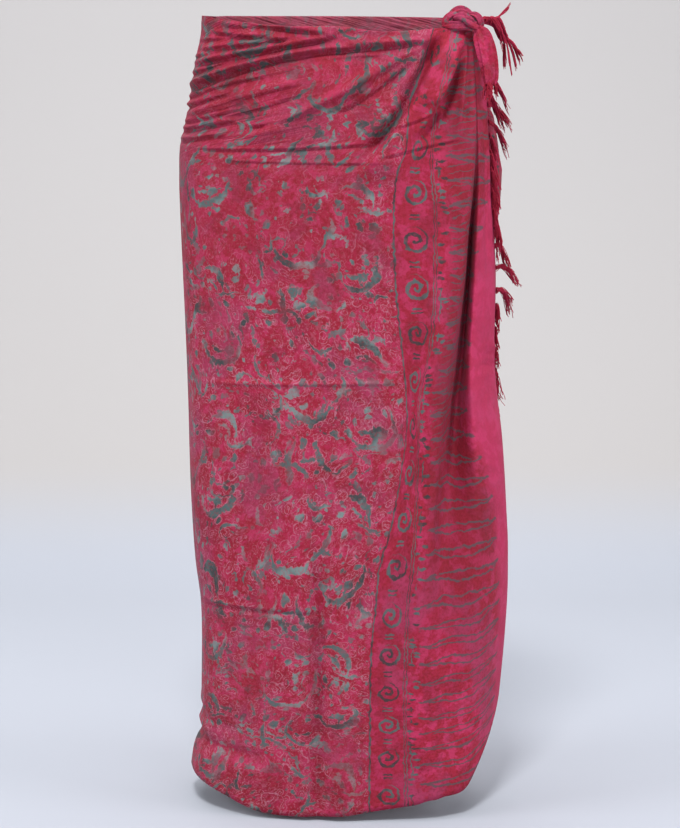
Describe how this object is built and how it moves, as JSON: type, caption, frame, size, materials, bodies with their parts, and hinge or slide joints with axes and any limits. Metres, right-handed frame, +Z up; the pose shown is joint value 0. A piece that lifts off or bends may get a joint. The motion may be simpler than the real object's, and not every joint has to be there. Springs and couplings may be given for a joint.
{
  "type": "sarong",
  "caption": "Crimson batik sarong wound about the hips to the floor, knotted at one side, its outer end hanging in a folded, fringed fall.",
  "frame": {"origin": "middle of the waist opening, where the garment is held", "axes": "+Z up out of the waist opening, +X towards the tied side, -Y the front"},
  "size_m": [0.4319, 0.2778, 1.0169],
  "materials": {
    "wound_cloth": "soft matt",
    "front_cloth": "soft matt",
    "knot_cloth": "soft matt",
    "fringe_threads": "soft matt"
  },
  "bodies": {
    "root": {"wrap_back": "wound_cloth", "front_panel": "front_cloth", "knot": "knot_cloth", "tail_long": "knot_cloth", "tail_short": "knot_cloth", "end_fringe": "fringe_threads"}
  },
  "joints": []
}
